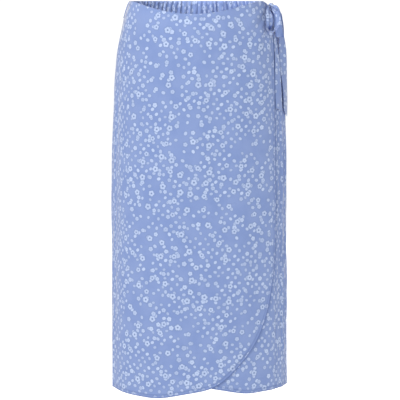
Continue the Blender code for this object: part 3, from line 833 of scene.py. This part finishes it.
def pinch(angle, share):
    """1 on a puff and 0 in the pinch between two, which wavers a little from the band's top to
    its lower edge: a low power of the sine of half the gathers' phase."""
    phase = fold_phase(BACK_FOLDS[0], angle)
    wavers = 1.1 * sin(0.31 * phase + 2.0) + 0.6 * sin(0.57 * phase)
    wavers = wavers + 0.5 * sin(3.0 * share + 0.83 * phase)
    return np.abs(sin((phase - pi / 2 + wavers) / 2)) ** 0.40


def fine_gathers(angle, share):
    """Narrow creases between the gathers, out of step with them, which waver down the band, are
    deepest near the left side seam and die out at the band's lower edge."""
    across, phase = across_back(angle), fold_phase(BACK_FOLDS[0], angle)
    wavers = 1.4 * sin(0.37 * phase) + 0.9 * sin(2.6 * share + phase)
    crease = np.abs(sin(0.81 * phase + wavers)) ** 0.45
    deepest = BAND_FINE * (1.0 + 0.7 * cos(pi * across)) * (0.75 + 0.25 * sin(0.23 * phase + 1.0))
    at_seams = ramp(0.0, 0.03, np.minimum(across, 1.0 - across))
    return deepest * (0.75 - crease) * (1.0 - share**3) * at_seams


def back_angles(columns):
    """Even angles round the back, from seam to seam."""
    return np.linspace(180.0 - SEAM_ANGLE, 180.0 + SEAM_ANGLE, columns)[None, :]


angle = back_angles(BAND_COLUMNS)
share = np.linspace(0.0, 1.0, BAND_ROWS)[:, None]
pull = side_pull(angle)
depth = pull + (BAND_HEIGHT - BAND_GAP - pull) * share
angle = np.broadcast_to(angle, depth.shape)
puff = pinch(angle, share)
round_over = (1.0 - np.abs(2.0 * share - 1.0) ** 8) ** 0.5
plump = BAND_PINCHED + BAND_PUFF * puff * (0.55 + 0.45 * sin(pi * share))
body = plump * np.maximum(round_over, BAND_RIM)
phase = fold_phase(BACK_FOLDS[0], angle)
uneven = 1.0 + 0.8 * sin(0.41 * phase + 1.3 * sin(0.17 * phase))
tighter = BAND_WAVE * (1.0 + 0.4 * cos(radians(angle - 90.0))) * uneven
wave = gather_height(angle, depth) * (tighter + (1.0 - tighter) * share**2)
middle = BAND_MIDDLE + wave + fine_gathers(angle, share)
outer, inner = skirt_points(angle, depth, middle + body), skirt_points(angle, depth, middle - body)
# Painted shade: deep blue is painted into the pinches left of centre back, where they close up,
# and a little over the band's right end, which is turned from the light.
pinch_shade = ramp(182.0, 173.0, angle) * ramp(128.0, 146.0, angle)
pinch_shade = pinch_shade * (PUFF_SHADE + PINCH_SHADE * (1.0 - puff))
waistband = cloth_piece(
    "waistband_casing",
    outer,
    inner,
    path_map(outer) * np.array([BAND_TAKE_UP, 1.0]),
    (face_side,),
    ("back_waistband",),
    painted_fold_shade=pinch_shade + RIGHT_END_SHADE * ramp(222.0, 234.0, angle),
)


# ----------------------------------------
# Back panel. One layer of viscose, gathered into the waistband's seam; the gathers merge in
# pairs and open into broad flutes towards the hem.

BACK_COLUMNS = 400
BACK_ROWS = 112
CRISP_HEIGHT = 0.0012
CRISP_LENGTH = 0.018
BACK_PRINT_PLACE = (1.37, 0.417)


def back_hem(angle):
    """The back's hem meets the front's hem at both side seams."""
    return UNDERLAP.length + (OVERLAP.length - OVERLAP.seam_rise - UNDERLAP.length) * across_back(angle)


def back_lift(angle, depth):
    """The back's folds; the gathers below the band are crisper than waves, so each keeps a narrow
    trough, deepest at the seam."""
    crisp = CRISP_HEIGHT * (pinch(angle, 1.0) - 0.8) * exp(-(depth - BAND_HEIGHT) / CRISP_LENGTH)
    return FACE_LIFT + gather_height(angle, depth) + crisp + soft_relief(angle, depth)


angle = back_angles(BACK_COLUMNS)
t = np.linspace(0.0, 1.0, BACK_ROWS)[:, None]
depth = BAND_HEIGHT + (back_hem(angle) - BAND_HEIGHT) * (1.7 * t**2 - 0.7 * t**3)
angle = np.broadcast_to(angle, depth.shape)
lift = back_lift(angle, depth)
flat = path_map(skirt_points(angle, depth, lift)) + np.array(BACK_PRINT_PLACE)
back = hemmed_panel("back_cloth", "back_panel", angle, depth, lift, back_hem(angle) - depth, flat)


# ----------------------------------------
# Side seams. The front's and the back's allowances are overlocked together and pressed towards
# the back: a doubled strip of the same viscose inside each seam, below the waistband.

ALLOWANCE = 0.010
ALLOWANCE_THICKNESS = 0.0006
ALLOWANCE_ENDS = 0.774
ALLOWANCE_GAP = 0.0002
ALLOWANCE_SPRINGS = 0.0006

for name, seam_angle, way in (("left_seam_allowance", 90.2, 1.0), ("right_seam_allowance", 269.8, -1.0)):
    depth = np.linspace(BAND_HEIGHT, ALLOWANCE_ENDS, 160)[:, None]
    across = np.linspace(0.0, 1.0, 7)[None, :]
    angle = seam_angle + way * across * ALLOWANCE / degree_of_cloth(90.0, depth)
    depth = np.broadcast_to(depth, angle.shape)
    lift = back_lift(angle, depth) - FACE_LIFT + REVERSE_LIFT - ALLOWANCE_GAP - ALLOWANCE_SPRINGS * across**2
    outer = skirt_points(angle, depth, lift)
    inner = skirt_points(angle, depth, lift - ALLOWANCE_THICKNESS)
    strip = cloth_piece(name, outer, inner, path_map(outer), (reverse_side,))


# ----------------------------------------
# Topstitching. The hems and the fronts' curved and top edges are sewn down with one row of fine
# polyester thread in the cloth's blue, about three stitches to the centimetre.

STITCH_PITCH = 0.0032
STITCH_LENGTH = 0.0025
STITCH_THICKNESS = 0.00042
THREAD = (0.205, 0.280, 0.530, 1.0)
THREAD_LIT = (0.250, 0.330, 0.590, 1.0)
STITCH_PROFILE = (0.15, 0.9, 1.0, 0.9, 0.15)
STITCH_PROUD = 1.6
STITCH_CORNERS = 4
STITCHES_FROM_SEAM = 0.6
STITCHES_FROM_EDGE = 0.5
TWISTS_PER_METRE = 2600.0
TWIST_HEIGHT = 0.0001

thread, thread_shader = plain_material("polyester_thread", {"Specular IOR Level": 0.4})
Wire.tree = thread.node_tree
thread_place = Wire.node("ShaderNodeTexCoord", out="Object")
twist = Wire.node("ShaderNodeTexNoise", {"Vector": thread_place, "Scale": TWISTS_PER_METRE, "Detail": 1.0})
twist.rise(0.35, 0.65).blend(THREAD, THREAD_LIT).into(thread_shader, "Base Color")
(twist * 0.2 + 0.5).into(thread_shader, "Roughness")
(twist * TWIST_HEIGHT).raised().into(thread_shader, "Normal")


def length_along(line):
    """Length from the start of a line to each of its points."""
    return np.concatenate([[0.0], np.cumsum(np.linalg.norm(np.diff(line, axis=0), axis=-1))])


def belt_faces(first, around):
    """Faces between each ring of points and the next, from the number of each ring's first."""
    first, here = first[..., None], np.arange(around)
    after = (here + 1) % around
    corners = (first + here, first + around + here, first + around + after, first + after)
    return np.stack(corners, axis=-1).reshape(-1, 4)


def sewn_row(name, angle, depth, lift):
    """One row of stitches along a line on the skirt, at an even pitch. Each stitch is a short
    spindle with a square section: its half thickness is a rounded hump of its length."""
    length = length_along(skirt_points(angle, depth, lift))
    count = int(length[-1] / STITCH_PITCH)
    middle = (np.arange(count) + 0.5) * STITCH_PITCH
    ring = np.linspace(-1.0, 1.0, len(STITCH_PROFILE))[None, :] * STITCH_LENGTH / 2
    at = np.clip(middle[:, None] + ring, 0.0, length[-1])
    where = [np.interp(at, length, values) for values in (angle, depth, lift)]
    points = skirt_points(*where)
    thick = STITCH_THICKNESS / 2 * np.array(STITCH_PROFILE)[None, :, None]
    out = outward(where[0], where[1]) * thick
    beside = unit(np.cross(out, np.gradient(points, axis=1))) * thick
    corners = np.stack([points + out * STITCH_PROUD, points + beside, points - out, points - beside], axis=2)
    rings, corner = len(STITCH_PROFILE), np.arange(STITCH_CORNERS)
    first = (np.arange(count)[:, None] * rings + np.arange(rings)) * STITCH_CORNERS
    caps = np.concatenate([first[:, :1] + corner, first[:, -1:] + corner[::-1]])
    sides = belt_faces(first[:, :-1], STITCH_CORNERS)
    mesh = bpy.data.meshes.new(name)
    mesh.from_pydata(corners.reshape(-1, 3), [], np.concatenate([sides, caps]).tolist())
    mesh.materials.append(thread)
    mesh.shade_smooth()
    return placed(name, mesh)


def edge_line(panel, lean, inside):
    """The line that runs inside a front panel's hemmed edge at an even distance, from its side
    seam round the corner and up the free edge: the edge moved along its own normal."""
    angle, depth, _ = (grid[:, :: panel.side] for grid in front_panel_grid(panel, lean))
    angle, depth = (np.concatenate([grid[-1], grid[-2::-1, -1]]) for grid in (panel.side * angle, depth))
    step = np.gradient(angle) * degree_of_cloth(angle, depth), np.gradient(depth)
    size = np.hypot(*step) + 1e-9
    moved_angle = angle + inside * step[1] / size / degree_of_cloth(angle, depth)
    moved_depth = depth - inside * step[0] / size
    keep = slice(2, -6)
    return panel.side * moved_angle[keep], moved_depth[keep]


for name, panel, lean, panel_lift in (
    ("underlap", UNDERLAP, no_lean, underlap_lift),
    ("overlap", OVERLAP, tied_lean, overlap_lift),
):
    angle, depth = edge_line(panel, lean, STITCH_LINE)
    lift = panel_lift(angle, depth)
    if panel is OVERLAP:
        lift = lift + EDGE_CURL * exp(-STITCH_LINE / EDGE_CURL_WIDTH) * edge_is_free(angle, depth)
    sewn_row(name + "_hem_stitches", angle, depth, lift)
    angle = panel.side * np.linspace(STITCHES_FROM_SEAM - SEAM_ANGLE, panel.edge - STITCHES_FROM_EDGE, 400)
    depth = waist_edge(angle) + STITCH_LINE
    sewn_row(name + "_top_stitches", angle, depth, panel_lift(angle, depth))
angle = np.linspace(90.0 + STITCHES_FROM_SEAM, 270.0 - STITCHES_FROM_SEAM, 900)
depth = back_hem(angle) - STITCH_LINE
sewn_row("back_hem_stitches", angle, depth, back_lift(angle, depth))


# ----------------------------------------
# Bow. The overlap's tie and the tie from the left side seam are turned tubes of the same viscose,
# pressed flat and knotted in a bow that hangs down at the side.

KNOT_ANGLE = 70.4
KNOT_DEPTH = 0.0125
KNOT_RADII = (0.0066, 0.0072, 0.0082)
KNOT_WRAP = 0.07
KNOT_CLEARANCE = 0.0017
TIE_THICKNESS = 0.0011
TIE_HALF_WIDTH = 0.0095
TIE_PRINT_PLACE = (0.37, 0.21)
TIE_PRINT_STEP = 0.05
# Painted shade along the edges of every tie.
TIE_EDGE_SHADE = 0.36
TIE_CELLS = 24
LOOP_STEPS = 120
TAIL_END_SLANT = 0.34

FRONT_LOOP = (
    # x, y, z from the knot in millimetres, turn and rise of the width's direction, width
    (-2.0, -4.5, 1.0, 242, 75, 7),
    (-4.2, -11.5, 0.0, 238, 60, 11),
    (-5.4, -17.5, -6.0, 225, 30, 16),
    (-4.2, -21.4, -15.0, 216, 8, 18.5),
    (-3.6, -24.2, -25.0, 216, 0, 19),
    (-5.2, -28.7, -35.0, 225, 4, 18.5),
    (-7.2, -32.2, -43.5, 243, 14, 17.5),
    (-0.4, -33.2, -50.6, 270, 38, 16.5),
    (7.2, -30.6, -43.5, 298, 14, 15),
    (11.8, -27.2, -34.0, 312, 4, 14),
    (12.8, -24.8, -24.0, 318, 0, 13.5),
    (10.4, -22.0, -14.0, 316, 10, 12),
    (3.4, -15.4, -5.6, 290, 35, 10),
    (0.0, -5.5, -1.0, 262, 65, 7),
)
SIDE_LOOP = (
    (2.0, -2.0, 2.0, 62, 22, 7),
    (7.4, -6.2, 1.8, 45, 16, 10),
    (11.0, -9.4, -4.0, 18, 8, 12.5),
    (12.0, -11.0, -13.0, -3, 0, 14.5),
    (12.6, -11.8, -25.5, -6, 0, 16),
    (14.6, -11.6, -40.0, 0, 0, 17),
    (17.2, -10.8, -51.2, 10, 0, 16),
    (17.6, -7.2, -58.0, 11, 0, 16.5),
    (17.6, -3.6, -51.2, 12, 0, 17),
    (16.8, -2.8, -39.0, 20, 0, 18),
    (14.8, -2.2, -25.5, 22, 0, 18),
    (12.8, -1.6, -12.0, 28, 0, 15),
    (2.6, 0.8, -3.0, 50, 10, 7),
)
FRONT_TAIL = (
    # angle, depth, lift and width in millimetres, tilt of the width
    (70.8, 18, 6.0, 6, 0),
    (70.0, 30, 3.6, 6.5, 0),
    (68.2, 60, 3.6, 9, 8),
    (67.0, 87, 4.0, 10.5, 9),
    (65.6, 117, 4.8, 13.5, 9),
    (65.1, 156, 4.6, 17.5, 8),
    (65.2, 196, 4.6, 21, 7),
    (65.2, 215, 4.6, 21, 7),
)
SIDE_TAIL = (
    (73.4, 18, 7.5, 6, 0),
    (74.4, 32, 5.4, 8, 8),
    (77.0, 52, 8.4, 15, 18),
    (77.8, 70, 9.8, 18, 22),
    (76.8, 88, 9.4, 20, 25),
    (75.6, 117, 8.2, 21, 25),
    (77.0, 160, 8.0, 21, 10),
    (77.2, 196, 7.6, 21, 6),
    (76.8, 224, 6.6, 21, 6),
)
SIDE_STRAP = (
    (73.2, 12.5, 3.4, 6, 0),
    (78.0, 15.5, 2.4, 9, 0),
    (83.5, 18.0, 2.4, 12, 0),
    (89.1, 19.5, 2.4, 13, 0),
)

knot_angle, knot_depth = np.array([KNOT_ANGLE]), np.array([KNOT_DEPTH])
knot_lift = np.array([KNOT_CLEARANCE + KNOT_RADII[0] * (1.0 + KNOT_WRAP)])
knot_centre = skirt_points(knot_angle, knot_depth, knot_lift)[0]


def along_stations(stations, steps):
    """Each column of the stations at even shares of the length, on a Catmull-Rom curve."""
    table = np.array(stations, dtype=float)
    last = len(table) - 1
    place = np.linspace(0.0, last, steps)
    i = np.minimum(place.astype(int), last - 1)
    t = (place - i)[:, None]
    a, b, c, d = (table[np.clip(i + k, 0, last)] for k in (-1, 0, 1, 2))
    smooth = 2 * b + (c - a) * t + (2 * a - 5 * b + 4 * c - d) * t**2 + (3 * b - a - 3 * c + d) * t**3
    return (smooth / 2).T


def loop_line(stations):
    """Middle, width direction and width of a bow loop, from stations measured from the knot."""
    x, y, z, turn, rise, width = along_stations(stations, LOOP_STEPS)
    turn, rise = radians(turn), radians(rise)
    way = np.stack([cos(turn) * cos(rise), sin(turn) * cos(rise), sin(rise)], axis=-1)
    return knot_centre + np.stack([x, y, z], axis=-1) / 1000, way, width / 1000


def band_line(stations, steps=110, upright=False):
    """Middle, width direction and width of a ribbon that lies against the skirt. A tail's width
    runs round the body, tilted out; an upright strap runs round the body itself."""
    angle, depth, lift, width, tilt = along_stations(stations, steps)
    depth, tilt = depth / 1000, radians(tilt)[:, None]
    out = outward(angle, depth)
    way = np.stack([-out[:, 1], out[:, 0], 0.0 * depth], axis=-1) * cos(tilt) + out * sin(tilt)
    if upright:
        half = width / 2000
        way = skirt_points(angle, depth - half, 0.0 * half) - skirt_points(angle, depth + half, 0.0 * half)
    return skirt_points(angle, depth, lift / 1000), unit(way), width / 1000


def ribbon(solid, line, folds, slant=0.0, fold_shade=None):
    """A pressed tube of cloth along a line. Folds and the optional painted-shade function give how
    far it stands off its flat, and how much deep blue shade is painted on it, at a share of its
    length and a side from -1 to 1; both edges always get some painted shade. Its wall closes at
    both edges as 1 - side^8, and its end is cut on a slant."""
    name = solid + "_cloth"
    middle, way, width = line
    along = unit(np.gradient(middle, axis=0))
    normal = unit(np.cross(along, way))
    across = np.cross(normal, along)
    share = np.linspace(0.0, 1.0, len(middle))
    side = np.linspace(-1.0, 1.0, TIE_CELLS + 1)
    points = middle[:, None] + across[:, None] * (side * width[:, None] / 2)[..., None]
    cut = slant * ramp(0.88, 1.0, share)[:, None] * side * width[:, None]
    points = points + along[:, None] * cut[..., None]
    gathered = folds(share[:, None], side[None, :])
    body = TIE_THICKNESS / 2 * (1.0 - 0.75 * side**8)
    outer = points + normal[:, None] * (gathered + body)[..., None]
    inner = points + normal[:, None] * (gathered - body)[..., None]
    length = length_along(middle)
    flat = np.stack(np.broadcast_arrays(side[None, :] * TIE_HALF_WIDTH, -length[:, None]), axis=-1)
    flat = flat + np.array(TIE_PRINT_PLACE) + np.array([TIE_PRINT_STEP * len(name), 0.0])
    # Painted shade: a deep blue painted along both edges, where shade falls in the gaps beside the tie.
    painted_fold_shade = TIE_EDGE_SHADE * ramp(0.76, 1.0, np.abs(side[None, :])) + 0.0 * share[:, None]
    if fold_shade:
        painted_fold_shade = np.maximum(painted_fold_shade, fold_shade(share[:, None], side[None, :]))
    piece = cloth_piece(name, outer, inner, flat, (face_side,), (solid,), painted_fold_shade=painted_fold_shade)
    return piece


def to_ends(share):
    """0 in the middle of a loop, 1 at both ends in the knot."""
    return np.abs(2.0 * share - 1.0) ** 1.6


def front_loop_folds(share, side):
    """Gathers at both ends of the front loop, running on as two soft creases over its fold."""
    ends = to_ends(share)
    run_on = 0.00045 * cos(2.0 * pi * side + 5.0 * share) * (1.0 - 0.6 * ends)
    return 0.00085 * ends * cos(2.5 * pi * side + 0.7) + run_on + 0.0006 * (1.0 - ends) * side**2


def side_loop_folds(share, side):
    """Gathers at both ends of the side loop, a crease that runs on over its fold, and its far
    edge turned back."""
    ends = to_ends(share)
    turned = np.clip(side - 0.1, 0.0, None) ** 2
    turned = turned * ramp(0.08, 0.25, share) * ramp(0.55, 0.45, share)
    run_on = 0.00060 * cos(1.6 * pi * side + 1.0 + 3.0 * share) * (1.0 - 0.6 * ends)
    return 0.0008 * ends * cos(2.5 * pi * side + 0.4) + run_on - 0.0050 * turned


def front_loop_shade(share, side):
    """Painted shade, a deep blue, where the front loop's two strips close on each other above its fold, and
    at the knot.
    """
    above_fold = bell((share - 0.425) / 0.045) + bell((share - 0.580) / 0.030)
    at_knot = exp(-share / 0.045) + exp(-(1.0 - share) / 0.045)
    return np.clip(0.85 * above_fold * ramp(0.45, -0.25, side) + 0.6 * at_knot, 0.0, 0.9)


def side_loop_shade(share, side):
    """Painted shade, a deep blue, on the side loop's outer edge, which turns back from the light, and on its
    strip behind.
    """
    behind = ramp(0.46, 0.56, share)
    return 0.55 * behind * ramp(0.0, 0.9, side) + 0.45 * (1.0 - behind) * ramp(0.75, 1.0, side)


def tail_folds(share, side):
    """Gathers at the knot that open out down the tail, and one long soft fold."""
    start = exp(-share / 0.22)
    long_fold = 0.0005 * (1.0 - start) * sin(2.2 * side + 9.0 * share)
    return 0.0007 * start * cos(2.5 * pi * side + 0.4) + long_fold


def strap_folds(share, side):
    """Gathers that open out from the knot to the side seam."""
    return 0.0009 * exp(-share / 0.9) * cos(3.0 * pi * side)


ribbon("tie_loop_front", loop_line(FRONT_LOOP), front_loop_folds, fold_shade=front_loop_shade)
ribbon("tie_loop_side", loop_line(SIDE_LOOP), side_loop_folds, fold_shade=side_loop_shade)
ribbon("tie_tail_front", band_line(FRONT_TAIL), tail_folds, slant=TAIL_END_SLANT / 2)
ribbon("tie_tail_side", band_line(SIDE_TAIL), tail_folds, slant=TAIL_END_SLANT)
ribbon("tie_side_strap", band_line(SIDE_STRAP, steps=40, upright=True), strap_folds)

KNOT_RINGS = 48
KNOT_SEGMENTS = 96
KNOT_TURNS = 3.1
KNOT_TURN_LEAN = 0.75
KNOT_TURN_TWIST = 0.25
KNOT_TURN_DEPTH = 0.16
KNOT_PRINT_PLACE = (0.233, 0.119)
GROOVE_SHADE = 0.9

polar = (np.arange(KNOT_RINGS) + 0.5)[:, None] / KNOT_RINGS * pi
around = np.arange(KNOT_SEGMENTS)[None, :] / KNOT_SEGMENTS * 2.0 * pi
x, y, z = np.broadcast_arrays(sin(polar) * cos(around), sin(polar) * sin(around), cos(polar))
turns = np.abs(sin(KNOT_TURNS * (z + KNOT_TURN_LEAN * y + KNOT_TURN_TWIST * x) + 0.5)) ** 0.5
swell = 1.0 + KNOT_WRAP + KNOT_TURN_DEPTH * (turns - 1.0) * (1.0 - z**4)
knot_out = outward(knot_angle, knot_depth)[0]
ways = np.stack([knot_out, [-knot_out[1], knot_out[0], 0.0], [0.0, 0.0, 1.0]])
ball = np.stack([x, y, z], axis=-1) * swell[..., None] * np.array(KNOT_RADII)
knot_points = (knot_centre + ball @ ways).reshape(-1, 3)
poles = np.stack([knot_points[:KNOT_SEGMENTS].mean(axis=0), knot_points[-KNOT_SEGMENTS:].mean(axis=0)])
belt = belt_faces(np.arange(KNOT_RINGS - 1) * KNOT_SEGMENTS, KNOT_SEGMENTS)
here = np.arange(KNOT_SEGMENTS)
after, pole = (here + 1) % KNOT_SEGMENTS, np.full_like(here, len(knot_points))
last_ring = len(knot_points) - KNOT_SEGMENTS
top = np.stack([pole, here, after], axis=-1)
bottom = np.stack([pole + 1, last_ring + after, last_ring + here], axis=-1)
knot_mesh = bpy.data.meshes.new("tie_knot_cloth")
faces = belt.tolist() + top.tolist() + bottom.tolist()
knot_mesh.from_pydata(np.concatenate([knot_points, poles]), [], faces)
knot_mesh.materials.append(face_side)
flat = np.stack(np.broadcast_arrays(around * KNOT_RADII[1], polar * KNOT_RADII[2]), axis=-1)
flat = np.concatenate([flat.reshape(-1, 2), [[0.0, 0.0], [0.0, pi * KNOT_RADII[2]]]])
# Painted shade: a deep blue painted into the grooves between the knot's wraps.
painted_grooves = np.append(np.clip(GROOVE_SHADE - 1.5 * turns, 0.0, GROOVE_SHADE), [0.0, 0.0])
mark_cloth(knot_mesh, flat + np.array(KNOT_PRINT_PLACE), 1.0, painted_grooves)
placed("tie_knot_cloth", knot_mesh, ("tie_knot",))
